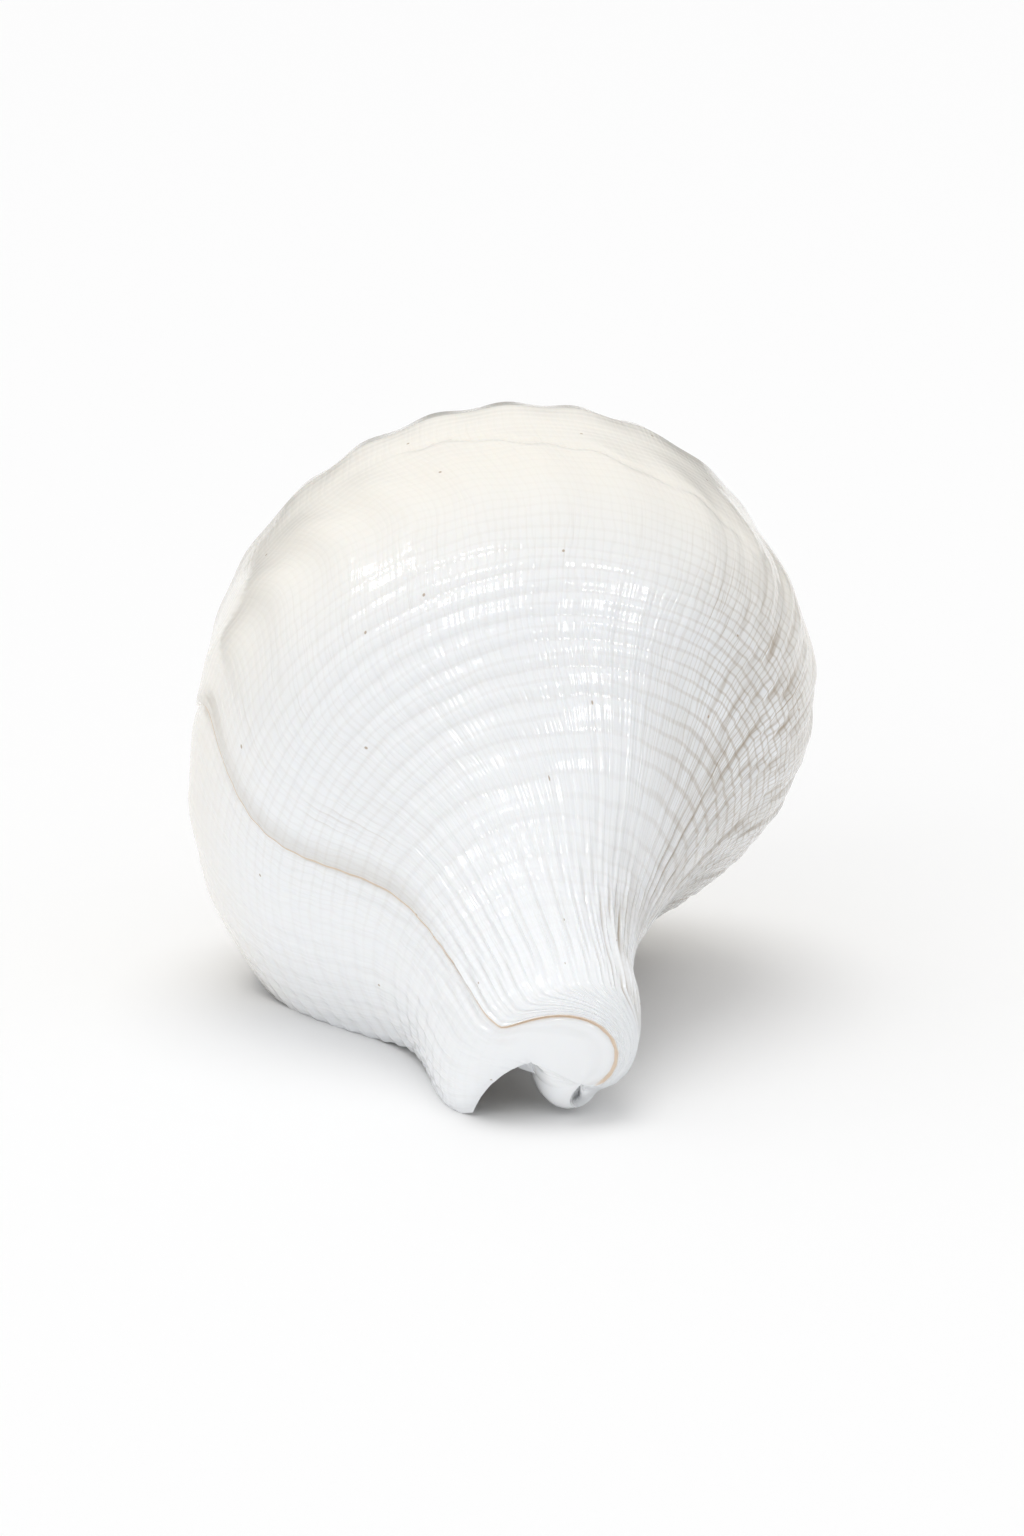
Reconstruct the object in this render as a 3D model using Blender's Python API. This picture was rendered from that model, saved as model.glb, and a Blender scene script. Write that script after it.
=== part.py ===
"""A conch shell with a short spire and a long siphonal canal, lying on its aperture.

The shell is one solid. Its outside is one profile, from the suture down to the canal's tip, that turns
about the shell's axis and grows as it turns. The inside follows the same surface, one wall lower, and
runs back from the aperture for one whorl. Lengths are in millimetres until the last step, which turns
them into metres, with +Z up.

A place on the surface has two numbers. "turn" is the angle about the axis in radians, growing towards
the lip. "station" counts along the profile: 0 is the suture, SHOULDER the widest part of the shoulder,
RIM the edge of the canal's end and POLE the middle of that end.
"""
import math

import bmesh
import bpy
import numpy as np
from mathutils import Matrix, Vector

MM = 0.001
FULL_TURN = 2 * math.pi

# Driving dimensions: the last whorl at its lip. Each ring is a radius and a distance from the apex.
WHORL_RATIO = 1.43
SHOULDER_SLOPE = (42.3, 34.0)
SHOULDER_EDGE = (42.7, 44.0)
PERIPHERY = (47.3, 62.0)
BASE = (40.5, 78.0)
WAIST = (26.8, 91.7)

# The canal's rings widen faster than the body: radius of the columella, how far the wall stands off it
# at the lip, how fast that grows in each radian, distance from the apex at the lip, advance a radian.
NECK = (5.0, 17.4, 0.35, 98.7, 1.3)
HOLLOW = (3.5, 15.7, 0.45, 113.4, 2.6)
ROLL = (4.5, 11.3, 0.36, 120.2, 3.3)
TIP_FACE = (6.4, 120.2)
TIP_PIT = (0.0, 118.6)

# The two rings of the canal's end, ROLL and TIP_FACE, stand out in a foot below the pit and draw in beside
# it. The pit lies off the shell's axis by PIT_OFFSET.
CANAL_END = slice(10, 12)
FOOT = math.radians(-98)
FOOT_SPREAD = math.radians(42)
FOOT_REACH = 2.7
DENT = math.radians(-42)
DENT_SPREAD = math.radians(20)
DENT_DEPTH = 1.6
PIT_OFFSET = (-1.4, -2.2, 0.0)

SHOULDER = 3.0
RIM = 10.0
POLE = 12.0
LIP = math.radians(225)
START = LIP - FULL_TURN
SPIRE_WHORLS = 5
WALL = 3.2
WALL_AT_CANAL = 2.0

# Growth lines bow back over the body between these stations, and sweep back at the canal.
BOW = math.radians(10.5)
BOW_STATIONS = (3.0, 4.3, 7.5)
SWEEP = math.radians(23)
SWEEP_STATIONS = (5.3, 9.7)

# The notch in the canal's end: its width, its corner's station, and where the wall starts to give way.
# From the notch the wall's edge runs on over the end face to the pit, with a step down to the columella.
NOTCH = math.radians(37.5)
NOTCH_CORNER = 9.05
NOTCH_FROM = 8.0
EDGE_STEP = math.radians(12)

# Relief: the step at the former lip, the belly beside the aperture, the knobs and the inner folds.
SEAM = LIP - math.radians(48.75)
SEAM_STEP = 0.6
SEAM_FADE = math.radians(9)
BELLY = math.radians(-85)
BELLY_SPREAD = math.radians(28)
BELLY_HEIGHT = 4.4
KNOBS = 24
KNOB_HEIGHT = 0.3
FOLDS = (66.0, 73.0, 80.0)
FOLD_HEIGHT = 1.3
FOLD_WIDTH = 1.9

# The cavity's depth, and the stations where it closes on its two sides at angles back from the lip.
CAVITY_TURN = math.radians(360)
CLOSING_BACKS = np.radians([37.5, 60, 100, 180, 300, 450])
CLOSING_ON_COLUMELLA = (9.8, 9.6, 9.2, 7.8, 6.8, 6.4)
CLOSING_ON_WALL = (10.0, 8.9, 8.2, 7.3, 6.6, 6.2)

# How the shell lies: the axis dips towards the canal and is turned a little from the view, and the
# shell is rolled until it stands on its lip, its belly and its canal.
DIP = math.radians(23.21)
YAW = math.radians(5.8)
ROLL_ANGLE = math.radians(4.12)
WORN_FLAT = 0.6

# How finely the shell is divided
COLUMNS = 2 * KNOBS
SPIRE_ROWS = 4
BODY_ROWS = 29
TIP_ROWS = 4
RIM_ROWS = 3
CAVITY_COLUMNS = 20


def smooth_step(value, start, end):
    """0 before start, 1 after end, and an even slope between them."""
    share = np.clip((value - start) / (end - start), 0, 1)
    return share * share * (3 - 2 * share)


def between(first, second, share):
    """The point at a share of the way from the first point to the second."""
    share = np.asarray(share)[..., None]
    return first * (1 - share) + second * share


def ring_points(turn):
    """The profile's control points (radius, distance from the apex) at each turn."""
    scale = WHORL_RATIO ** ((turn - LIP) / FULL_TURN)
    body = [SHOULDER_SLOPE, SHOULDER_EDGE, PERIPHERY, BASE, WAIST]
    suture = [(a + 4 * b + c) / 6 / WHORL_RATIO for a, b, c in zip(*body[:3])]
    rings = [np.multiply.outer(scale, suture)] * 3
    for ring in body:
        rings.append(np.multiply.outer(scale, ring))
    past_lip = turn - LIP
    for core, stand_off, growth, distance, advance in (NECK, HOLLOW, ROLL):
        radius = core + stand_off * np.exp(growth * past_lip)
        rings.append(np.stack([radius, distance + advance * past_lip], axis=-1))
    for ring in (TIP_FACE, TIP_PIT, TIP_PIT, TIP_PIT):
        rings.append(np.broadcast_to(ring, turn.shape + (2,)))
    rings = np.stack(rings, axis=-2)
    foot = FOOT_REACH * np.exp(-(((turn - FOOT) / FOOT_SPREAD) ** 2))
    dent = DENT_DEPTH * np.exp(-(((turn - DENT) / DENT_SPREAD) ** 2))
    rings[..., CANAL_END, 0] += (foot - dent)[..., None]
    return rings


def profile_point(turn, station):
    """Radius and distance from the apex at a turn and a station, on a cubic B-spline."""
    rings = ring_points(turn)
    first = np.clip(np.floor(station), 0, POLE - 1).astype(int)
    share = (station - first)[..., None]
    weights = (
        (1 - share) ** 3 / 6,
        (3 * share**3 - 6 * share**2 + 4) / 6,
        (-3 * share**3 + 3 * share**2 + 3 * share + 1) / 6,
        share**3 / 6,
    )
    point = 0
    for step, weight in enumerate(weights):
        ring = np.take_along_axis(rings, (first + step)[..., None, None], axis=-2)
        point = point + weight * ring[..., 0, :]
    return point


def outward(turn, station):
    """The direction out of the wall in the plane through the axis."""
    step = 0.02
    ahead = profile_point(turn, np.minimum(station + step, POLE))
    behind = profile_point(turn, np.maximum(station - step, 0))
    along = ahead - behind
    along /= np.linalg.norm(along, axis=-1, keepdims=True)
    return np.stack([along[..., 1], -along[..., 0]], axis=-1)


def relief(turn, station):
    """Height of the shoulder knobs, the step at the seam and the belly beside the aperture."""
    scale = WHORL_RATIO ** ((turn - LIP) / FULL_TURN)
    on_shoulder = smooth_step(station, 0.6, 1.9) * (1 - smooth_step(station, 1.9, 3.0))
    knobs = KNOB_HEIGHT * scale * on_shoulder * np.cos(KNOBS * turn)
    after_seam = np.where(turn > SEAM + 1e-6, np.exp((SEAM - turn) / SEAM_FADE), 0)
    on_body = smooth_step(station, 0.3, 2.0) * (1 - smooth_step(station, 9.0, RIM))
    away = (turn - BELLY) / BELLY_SPREAD
    on_belly = smooth_step(station, 3.0, 4.6) * (1 - smooth_step(station, 4.6, 7.0))
    belly = BELLY_HEIGHT * on_belly * np.exp(-away * away)
    return knobs + belly - SEAM_STEP * after_seam * on_body


def outer_point(turn, station, depth=0.0):
    """Radius and distance of the outer face, or of a face some depth below it."""
    lift = relief(turn, station) - depth
    return profile_point(turn, station) + outward(turn, station) * np.asarray(lift)[..., None]


def place(point, turn, station):
    """A point in space. Growth lines bow back below the shoulder, and sweep back at the canal."""
    first, middle, last = BOW_STATIONS
    bow = BOW * smooth_step(station, first, middle) * (1 - smooth_step(station, middle, last))
    angle = turn - bow - SWEEP * smooth_step(station, *SWEEP_STATIONS)
    radius, distance = point[..., 0], point[..., 1]
    return np.stack([radius * np.cos(angle), radius * np.sin(angle), distance], axis=-1)


def notch_station(turn):
    """The last station of the outer wall: past the notch's start it draws back from the rim."""
    return RIM - (RIM - NOTCH_CORNER) * np.clip((turn - LIP + NOTCH) / NOTCH, 0, 1)


def wall_station(turn, station):
    """Squeezes the last stations of the wall so that they end on the notch."""
    squeeze = (notch_station(turn) - NOTCH_FROM) / (RIM - NOTCH_FROM)
    return np.where(station > NOTCH_FROM, NOTCH_FROM + (station - NOTCH_FROM) * squeeze, station)


def wall_depth(station):
    """Thickness of the wall: it thins towards the canal's end."""
    thinning = (WALL - WALL_AT_CANAL) * smooth_step(station, 7.5, RIM)
    return (WALL - thinning) * smooth_step(station, 0, 1.6)


def tip_point(turn, station):
    """The canal's end face. Past the wall's edge, which curves in to the pit, it is the columella's end."""
    start = np.full_like(turn, START)
    edge = LIP - NOTCH + (NOTCH - EDGE_STEP) * smooth_step(station, RIM, RIM + 0.8)
    share = smooth_step(turn, edge, edge + EDGE_STEP)
    notch_side = outer_point(np.minimum(turn, LIP - NOTCH), station)
    return between(notch_side, outer_point(start, station), share)


def cavity_end(back):
    """Where the canal closes inside, at an angle back from the lip."""
    columella = outer_point(START - back, np.interp(back, CLOSING_BACKS, CLOSING_ON_COLUMELLA))
    notch = np.minimum(back, NOTCH)
    inside = outer_point(LIP - notch, notch_station(LIP - notch), WALL_AT_CANAL)
    columella_rim = outer_point(np.full_like(back, START), np.full_like(back, RIM))
    open_end = between(columella_rim, inside, smooth_step(notch, 0, NOTCH))
    return between(open_end, columella, smooth_step(back, NOTCH, NOTCH + 0.5))


def over_notch(back):
    """Whether an angle back from the lip lies over the notch, where the canal is open."""
    return back <= NOTCH + 1e-9


def closing_wall_station(back, station):
    """The station of the cavity's outer side: it stops short of the rim once the canal is closed."""
    end = np.interp(back, CLOSING_BACKS, CLOSING_ON_WALL)
    squeeze = (end - SHOULDER) / (RIM - SHOULDER)
    closed = np.where(station > SHOULDER, SHOULDER + (station - SHOULDER) * squeeze, station)
    return np.where(over_notch(back), wall_station(LIP - back, station), closed)


def cavity_top(back):
    """Station on the earlier whorl where the cavity starts, under the suture."""
    return SHOULDER + 0.16 * smooth_step(back, 0, 0.3)


def fold_height(point, back):
    """The columella's folds: low spiral ridges that rise into the aperture."""
    scale = WHORL_RATIO ** (-back / FULL_TURN)
    height = 0
    for distance in FOLDS:
        away = (point[..., 1] - distance * scale) / (FOLD_WIDTH * np.sqrt(scale))
        height = height + FOLD_HEIGHT * np.exp(-away * away)
    return height * smooth_step(back, 0.0, 0.5)


def wall_side(back, station):
    """The cavity's outer side, which is the inside of the wall."""
    used = closing_wall_station(back, station)
    point = outer_point(LIP - back, used, wall_depth(station))
    top = outer_point(START - back, cavity_top(back))
    point = between(top, point, smooth_step(station, 0, 0.9))
    bend = smooth_step(station, 9.0, RIM) * ~over_notch(back)
    point = between(point, cavity_end(back), bend)
    return place(point, LIP - back, used)


def columella_side(back, station):
    """The cavity's inner side: the earlier whorl, then the columella with its folds."""
    top = cavity_top(back)
    end = np.where(over_notch(back), RIM, np.interp(back, CLOSING_BACKS, CLOSING_ON_COLUMELLA))
    used = top + (station - SHOULDER) * (end - top) / (RIM - SHOULDER)
    point = outer_point(START - back, used)
    fold = fold_height(point, back) * (1 - smooth_step(station, 8.5, 9.8))
    point = point + outward(START - back, used) * fold[..., None]
    near_end = smooth_step(station, 8.5, RIM)
    point = point + (cavity_end(back) - outer_point(START - back, end)) * near_end[..., None]
    follows_wall = smooth_step(back, 0, NOTCH)
    own = SHOULDER + (station - SHOULDER) * (end - SHOULDER) / (RIM - SHOULDER)
    swept = own * (1 - follows_wall) + closing_wall_station(back, station) * follows_wall
    return place(point, START - back, swept)


def rim_round(outer_edge, inner_edge):
    """Rows of points that carry the wall round its edge, in half circles."""
    across = (inner_edge - outer_edge) / 2
    along = np.gradient(outer_edge + inner_edge, axis=0)
    forward = np.cross(along, across)
    forward /= np.maximum(np.linalg.norm(forward, axis=-1, keepdims=True), 1e-9)
    reach = np.linalg.norm(across, axis=-1, keepdims=True)
    rows = [outer_edge]
    for step in range(1, RIM_ROWS):
        angle = math.pi * step / RIM_ROWS
        rows.append(outer_edge + across * (1 - math.cos(angle)) + forward * reach * math.sin(angle))
    rows.append(inner_edge)
    return np.stack(rows)


def grid(function, turns, stations):
    """A grid of points, one row for each turn."""
    turn, station = np.meshgrid(turns, stations, indexing="ij")
    return function(turn, station)


def outer_surface(turn, station):
    used = wall_station(turn, station)
    return place(outer_point(turn, used), turn, used)


def tip_surface(turn, station):
    to_pit = smooth_step(station, RIM, POLE)[..., None]
    return place(tip_point(turn, station), turn, station) + np.multiply(PIT_OFFSET, to_pit)


def spread_turns():
    """The turns of the last whorl's columns: one on each knob and between knobs, two at the seam's step."""
    plain = np.linspace(START, LIP, COLUMNS + 1)
    return np.sort(np.append(plain, [SEAM, SEAM + math.radians(0.8)]))


def patches():
    """The grids that make up the shell's skin."""
    turns = spread_turns()
    spire_stations = np.linspace(0, SHOULDER, SPIRE_ROWS + 1)
    body_stations = np.linspace(SHOULDER, RIM, BODY_ROWS + 1)
    stations = np.concatenate([spire_stations, body_stations[1:]])
    tip_stations = RIM + (POLE - RIM) * np.linspace(0, 1, TIP_ROWS + 1)
    notch_backs = LIP - turns[over_notch(LIP - turns)][::-1]
    deep_backs = NOTCH + (CAVITY_TURN - NOTCH) * np.linspace(0, 1, CAVITY_COLUMNS + 1)[1:] ** 1.15
    backs = np.concatenate([notch_backs, deep_backs])

    skins = [grid(outer_surface, turns, stations), grid(tip_surface, turns, tip_stations)]
    for whorl in range(1, SPIRE_WHORLS + 1):
        skins.append(grid(outer_surface, turns - whorl * FULL_TURN, spire_stations))
    wall = grid(wall_side, backs, stations)
    columella = grid(columella_side, backs, body_stations)
    skins += [wall[:, ::-1], columella]

    count = len(notch_backs)
    outer_edge = np.concatenate([skins[0][-1], skins[0][::-1][1:count, -1], skins[1][-count:, 0]])
    inner_edge = np.concatenate([wall[0], wall[1:count, -1], columella[:count, -1][::-1]])
    skins.append(rim_round(outer_edge, inner_edge)[::-1])

    deep_end = np.concatenate([wall[-1], columella[-1][::-1]])
    middle = np.broadcast_to(deep_end.mean(axis=0), deep_end.shape)
    skins.append(np.stack([middle, deep_end]))
    skins.append(apex_cap(turns, spire_stations))
    return skins


def apex_cap(turns, spire_stations):
    """The rounded first whorl that closes the top of the spire."""
    first = turns - SPIRE_WHORLS * FULL_TURN
    inner_edge = grid(outer_surface, first, spire_stations[:1])[:, 0]
    end_edge = grid(outer_surface, first[:1], spire_stations)[0]
    edge = np.concatenate([inner_edge, end_edge[::-1]])
    middle = edge.mean(axis=0) * (1, 1, 0)
    rings = []
    for share in (1.0, 0.75, 0.4, 0.0):
        ring = middle + (edge - middle) * share
        ring[:, 2] = edge[:, 2] * share - 1.2 * (1 - share * share)
        rings.append(ring)
    return np.stack(rings)


def lay_down():
    """Turns the shell's own frame, axis along +Z, into the pose it lies in."""
    rolled = Matrix.Rotation(math.pi / 2, 4, "X") @ Matrix.Rotation(ROLL_ANGLE, 4, "Z")
    return Matrix.Rotation(YAW, 4, "Z") @ Matrix.Rotation(DIP, 4, "X") @ rolled


def shell_mesh():
    """Joins the grids into one closed mesh in millimetres."""
    mesh = bmesh.new()
    for points in patches():
        rows, columns = points.shape[:2]
        verts = [mesh.verts.new(point) for point in points.reshape(-1, 3)]
        for row in range(rows - 1):
            for column in range(columns - 1):
                corner = row * columns + column
                mesh.faces.new([
                    verts[corner],
                    verts[corner + columns],
                    verts[corner + columns + 1],
                    verts[corner + 1],
                ])
    bmesh.ops.remove_doubles(mesh, verts=mesh.verts[:], dist=0.02)
    return mesh


def stand_on_flats(mesh):
    """Wears small flats where the shell touches the ground, and brings them to height 0."""
    ground = min(vert.co.z for vert in mesh.verts) + WORN_FLAT
    everything = mesh.verts[:] + mesh.edges[:] + mesh.faces[:]
    cut = bmesh.ops.bisect_plane(
        mesh, geom=everything, dist=0.005, plane_co=(0, 0, ground), plane_no=(0, 0, -1), clear_outer=True
    )
    edges = [item for item in cut["geom_cut"] if isinstance(item, bmesh.types.BMEdge)]
    bmesh.ops.triangle_fill(mesh, edges=edges, use_beauty=True, normal=(0, 0, -1))
    low = Vector((min(v.co.x for v in mesh.verts), min(v.co.y for v in mesh.verts)))
    high = Vector((max(v.co.x for v in mesh.verts), max(v.co.y for v in mesh.verts)))
    middle = (low + high) / 2
    bmesh.ops.translate(mesh, verts=mesh.verts[:], vec=(-middle.x, -middle.y, -ground))


def shell_material():
    material = bpy.data.materials.new("polished shell")
    material.use_nodes = True
    shader = material.node_tree.nodes["Principled BSDF"]
    shader.inputs["Base Color"].default_value = (0.87, 0.85, 0.79, 1)
    shader.inputs["Roughness"].default_value = 0.22
    shader.inputs["Metallic"].default_value = 0.0
    return material


def main():
    for item in list(bpy.data.objects):
        bpy.data.objects.remove(item)
    mesh = shell_mesh()
    bmesh.ops.transform(mesh, matrix=lay_down(), verts=mesh.verts[:])
    stand_on_flats(mesh)
    bmesh.ops.scale(mesh, vec=(MM, MM, MM), verts=mesh.verts[:])
    bmesh.ops.triangulate(mesh, faces=mesh.faces[:])
    bmesh.ops.recalc_face_normals(mesh, faces=mesh.faces[:])
    data = bpy.data.meshes.new("shell")
    mesh.to_mesh(data)
    mesh.free()
    data.shade_smooth()
    data.set_sharp_from_angle(angle=math.radians(40))
    data.materials.append(shell_material())
    shell = bpy.data.objects.new("shell", data)
    bpy.context.collection.objects.link(shell)


main()
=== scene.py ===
"""Finishes a conch shell: the fine surface that stands for the CAD solid, its glaze and a plain stage.

The shell's outside is one profile that turns about its axis and grows as it turns. A place on it has two
numbers: "turn", the angle about the axis in radians, growing towards the lip, and "station", counted
along the profile from the suture (0) past the shoulder (3) to the canal's rim (10) and the middle of its
end (12). Lengths are in millimetres until the mesh is made, in metres.
"""
import math

import bmesh
import bpy
import numpy as np
from mathutils import Matrix, Vector


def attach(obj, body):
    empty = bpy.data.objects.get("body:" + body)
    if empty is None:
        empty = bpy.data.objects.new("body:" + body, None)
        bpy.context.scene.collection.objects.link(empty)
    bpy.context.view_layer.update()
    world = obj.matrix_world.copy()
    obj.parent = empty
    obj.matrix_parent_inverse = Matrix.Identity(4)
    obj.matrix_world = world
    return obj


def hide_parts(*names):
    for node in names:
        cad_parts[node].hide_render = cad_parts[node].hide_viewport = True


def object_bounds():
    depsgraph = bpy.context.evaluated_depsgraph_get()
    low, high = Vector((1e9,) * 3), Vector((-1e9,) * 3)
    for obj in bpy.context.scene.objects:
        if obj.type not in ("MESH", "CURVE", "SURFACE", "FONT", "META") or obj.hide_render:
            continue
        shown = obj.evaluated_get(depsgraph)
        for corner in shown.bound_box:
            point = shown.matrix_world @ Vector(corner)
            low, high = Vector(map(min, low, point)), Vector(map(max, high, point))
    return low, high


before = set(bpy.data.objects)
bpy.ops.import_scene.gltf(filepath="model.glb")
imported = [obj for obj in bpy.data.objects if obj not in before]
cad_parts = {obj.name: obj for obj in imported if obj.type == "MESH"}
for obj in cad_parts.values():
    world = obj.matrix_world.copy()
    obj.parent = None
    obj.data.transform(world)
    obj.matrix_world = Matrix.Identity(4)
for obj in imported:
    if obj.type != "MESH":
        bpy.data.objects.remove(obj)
SOLID_BOX = [list(corner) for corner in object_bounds()]

bl_info = {
    "name": "Conch shell",
    "version": (1, 0, 0),
    "blender": (4, 5, 0),
    "location": "View3D > Sidebar > Conch",
    "description": "Builds a polished conch shell and its studio",
    "category": "Object",
}

MM = 0.001

# The Wave texture's bands repeat at this distance when its scale is 1
WAVE_PERIOD = math.pi / 10
FULL_TURN = 2 * math.pi

# The last whorl at its lip, as in the solid: each ring is a radius and a distance from the apex.
WHORL_RATIO = 1.43
SHOULDER_SLOPE = (42.3, 34.0)
SHOULDER_EDGE = (42.7, 44.0)
PERIPHERY = (47.3, 62.0)
BASE = (40.5, 78.0)
WAIST = (26.8, 91.7)

# The canal's rings: radius of the columella, how far the wall stands off it at the lip, how fast that
# grows in each radian, distance from the apex at the lip, advance a radian. The end's two rings have no
# advance: radius and distance. The pit is shallower than in the solid.
NECK = (5.0, 17.4, 0.35, 98.7, 1.3)
HOLLOW = (3.5, 15.7, 0.45, 113.4, 2.6)
ROLL = (4.5, 11.3, 0.36, 120.2, 3.3)
TIP_FACE = (6.4, 120.2)
TIP_PIT = (0.0, 121.2)

# The two rings of the canal's end, ROLL and TIP_FACE, stand out in a foot below the pit and draw in beside
# it. The foot reaches out a little less than in the solid, and its face stands FACET_RISE further forward.
# The pit lies off the shell's axis by PIT_OFFSET, half as far as in the solid, from PIT_STATION on.
CANAL_END = slice(10, 12)
FOOT = math.radians(-98)
FOOT_SPREAD = math.radians(42)
FOOT_REACH = 2.4
FACET_RISE = 1.6
DENT = math.radians(-42)
DENT_SPREAD = math.radians(20)
DENT_DEPTH = 1.6
PIT_OFFSET = (-0.7, -1.1, 0.0)
PIT_STATION = 11.2

SHOULDER = 3.0
RIM = 10.0
POLE = 12.0
LENGTH_STEPS = 2400
LIP = math.radians(225)
START = LIP - FULL_TURN
SPIRE_WHORLS = 5

# Growth lines bow back over the body between these stations, and sweep back at the canal.
BOW = math.radians(10.5)
BOW_STATIONS = (3.0, 4.3, 7.5)
SWEEP = math.radians(23)
SWEEP_STATIONS = (5.3, 9.7)

# The notch in the canal's end: its width, its corner's station, where the wall starts to give way, and the
# stations between which growth lines close up to clear it. From the notch the wall's edge runs on over the
# end face, as far as EDGE_RUN past the rim, with a step down to the columella.
NOTCH = math.radians(37.5)
NOTCH_CORNER = 9.05
NOTCH_FROM = 8.0
NOTCH_CLEARED = (7.0, 8.9)
EDGE_STEP = math.radians(12)
EDGE_RUN = 0.8

# Growth lines wander off their turn: degrees ahead of it at stations down the shell, first over the older
# part and then at the seam. At the canal's end they hook back round the pit. Columns of the mesh follow
# them fully from FOLLOW_FROM past START.
PATH_STATIONS = (3.0, 4.1, 5.2, 6.7, 8.0, 9.0)
OLDER_SHIFTS = (0, 6, 4.5, -6, -5, -3)
SEAM_SHIFTS = (0, -4, 3, -7.5, -5, -3)
SEAM_SHARE = (math.radians(70), math.radians(165))
HOOK = math.radians(195)
HOOK_STATIONS = (9.15, 11.05)
FOLLOW_FROM = math.radians(260)

# Large relief, as in the solid, and the rounding of the seam's edge
SEAM = LIP - math.radians(48.75)
SEAM_FADE = math.radians(9)
SEAM_ROUNDING = math.radians(2.2)
BELLY = math.radians(-85)
BELLY_SPREAD = math.radians(28)
BELLY_HEIGHT = 4.4
KNOBS = 24
FOLDS = (66.0, 73.0, 80.0)
FOLD_HEIGHT = 1.3
FOLD_WIDTH = 1.9

# Fine relief: the folded side, stained and darkened by painted shade, where folds fade on the roll and the
# foot, the stations where wear, stain and painted shade end at the tip, the stain on the neck, the crease
# where the canal's roll laps over the base, and the scar line on the shoulder
RIGHT_SIDE = (math.radians(26), math.radians(76))
ROLL_SIDE = (math.radians(75), math.radians(105))
FOOT_SIDE = (math.radians(-30), math.radians(10))
CLEAN_TIP = (9.3, 9.9)
NECK_STAIN = math.radians(55)
NECK_STAIN_SPREAD = 0.45
CREASE = math.radians(69)
CREASE_WIDTH = math.radians(3.0)
SCAR_MIDDLE = math.radians(93)
SCAR_STATION = 3.33
SCAR_SLOPE = -0.9
SCAR_WIDTH = 0.05

# How far the spire's tip stands past the point that distances from the apex start at
APEX_RISE = 1.2

# The cavity's depth, and the stations where it closes on its two sides at angles back from the lip.
CAVITY_TURN = math.radians(360)
CLOSING_BACKS = np.radians([37.5, 60, 100, 180, 300, 450])
CLOSING_ON_COLUMELLA = (9.8, 9.6, 9.2, 7.8, 6.8, 6.4)
CLOSING_ON_WALL = (10.0, 8.9, 8.2, 7.3, 6.6, 6.2)

# How the shell lies, as in the solid
DIP = math.radians(23.21)
YAW = math.radians(5.8)
ROLL_ANGLE = math.radians(4.12)
WORN_FLAT = 0.6

# Spacings of the material's patterns in mm, and the whorl's radius that they are measured at
PATTERN_RADIUS = 42.0
GROWTH_LINE = 1.15
THREAD = 1.65
HAIRLINE = 0.5
PATCH = 9.0
PINHOLE_CELL = 22.0
LINING_RADIUS = 40.0
LINING_PATCH = 6.0
ARAGONITE_IOR = 1.6

# Where the front light and the small lamps stand: degrees round from the camera and above the floor
FRONT = (math.radians(-30), math.radians(22))
FRONT_WIDTH = math.radians(60)
GLINTS = np.radians([(-68, 54), (-8, 56), (50, 32)]).tolist()
SENSOR_WIDTH = 36

# The room's light reaches its full strength at this height in a direction's unit vector
FULL_LIGHT_FROM = 0.6

# How finely the surface is divided, and what is welded and kept sharp
FINE_FROM = math.radians(10)
COARSE_STEP = math.radians(2.0)
FINE_STEP = math.radians(0.85)
SPIRE_ROWS = 6
BODY_ROWS = 140
TIP_ROWS = 16
RIM_ROWS = 8
CAVITY_COLUMNS = 30
CAVITY_SPREAD = 1.15
SEAM_COLUMNS = 26
WELD = 0.02
SHARP = math.radians(50)


# The shell's surface


def smooth_step(value, start, end):
    """0 before start, 1 after end, and an even slope between them."""
    share = np.clip((value - start) / (end - start), 0, 1)
    return share * share * (3 - 2 * share)


def between(first, second, share):
    """The point at a share of the way from the first point to the second."""
    share = np.asarray(share)[..., None]
    return first * (1 - share) + second * share


def ring_points(turn):
    """The profile's control points (radius, distance from the apex) at each turn."""
    scale = WHORL_RATIO ** ((turn - LIP) / FULL_TURN)
    body = [SHOULDER_SLOPE, SHOULDER_EDGE, PERIPHERY, BASE, WAIST]
    suture = [(a + 4 * b + c) / 6 / WHORL_RATIO for a, b, c in zip(*body[:3])]
    rings = [np.multiply.outer(scale, suture)] * 3
    for ring in body:
        rings.append(np.multiply.outer(scale, ring))
    past_lip = turn - LIP
    for core, stand_off, growth, distance, advance in (NECK, HOLLOW, ROLL):
        radius = core + stand_off * np.exp(growth * past_lip)
        rings.append(np.stack([radius, distance + advance * past_lip], axis=-1))
    for ring in (TIP_FACE, TIP_PIT, TIP_PIT, TIP_PIT):
        rings.append(np.broadcast_to(ring, turn.shape + (2,)))
    rings = np.stack(rings, axis=-2)
    foot = FOOT_REACH * np.exp(-(((turn - FOOT) / FOOT_SPREAD) ** 2))
    dent = DENT_DEPTH * np.exp(-(((turn - DENT) / DENT_SPREAD) ** 2))
    rings[..., CANAL_END, 0] += (foot - dent)[..., None]
    rings[..., CANAL_END.stop - 1, 1] += FACET_RISE * foot / FOOT_REACH
    return rings


def profile_point(turn, station):
    """Radius and distance from the apex at a turn and a station, on a cubic B-spline."""
    rings = ring_points(turn)
    first = np.clip(np.floor(station), 0, POLE - 1).astype(int)
    share = (station - first)[..., None]
    weights = (
        (1 - share) ** 3 / 6,
        (3 * share**3 - 6 * share**2 + 4) / 6,
        (-3 * share**3 + 3 * share**2 + 3 * share + 1) / 6,
        share**3 / 6,
    )
    point = 0
    for step, weight in enumerate(weights):
        ring = np.take_along_axis(rings, (first + step)[..., None, None], axis=-2)
        point = point + weight * ring[..., 0, :]
    return point


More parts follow.
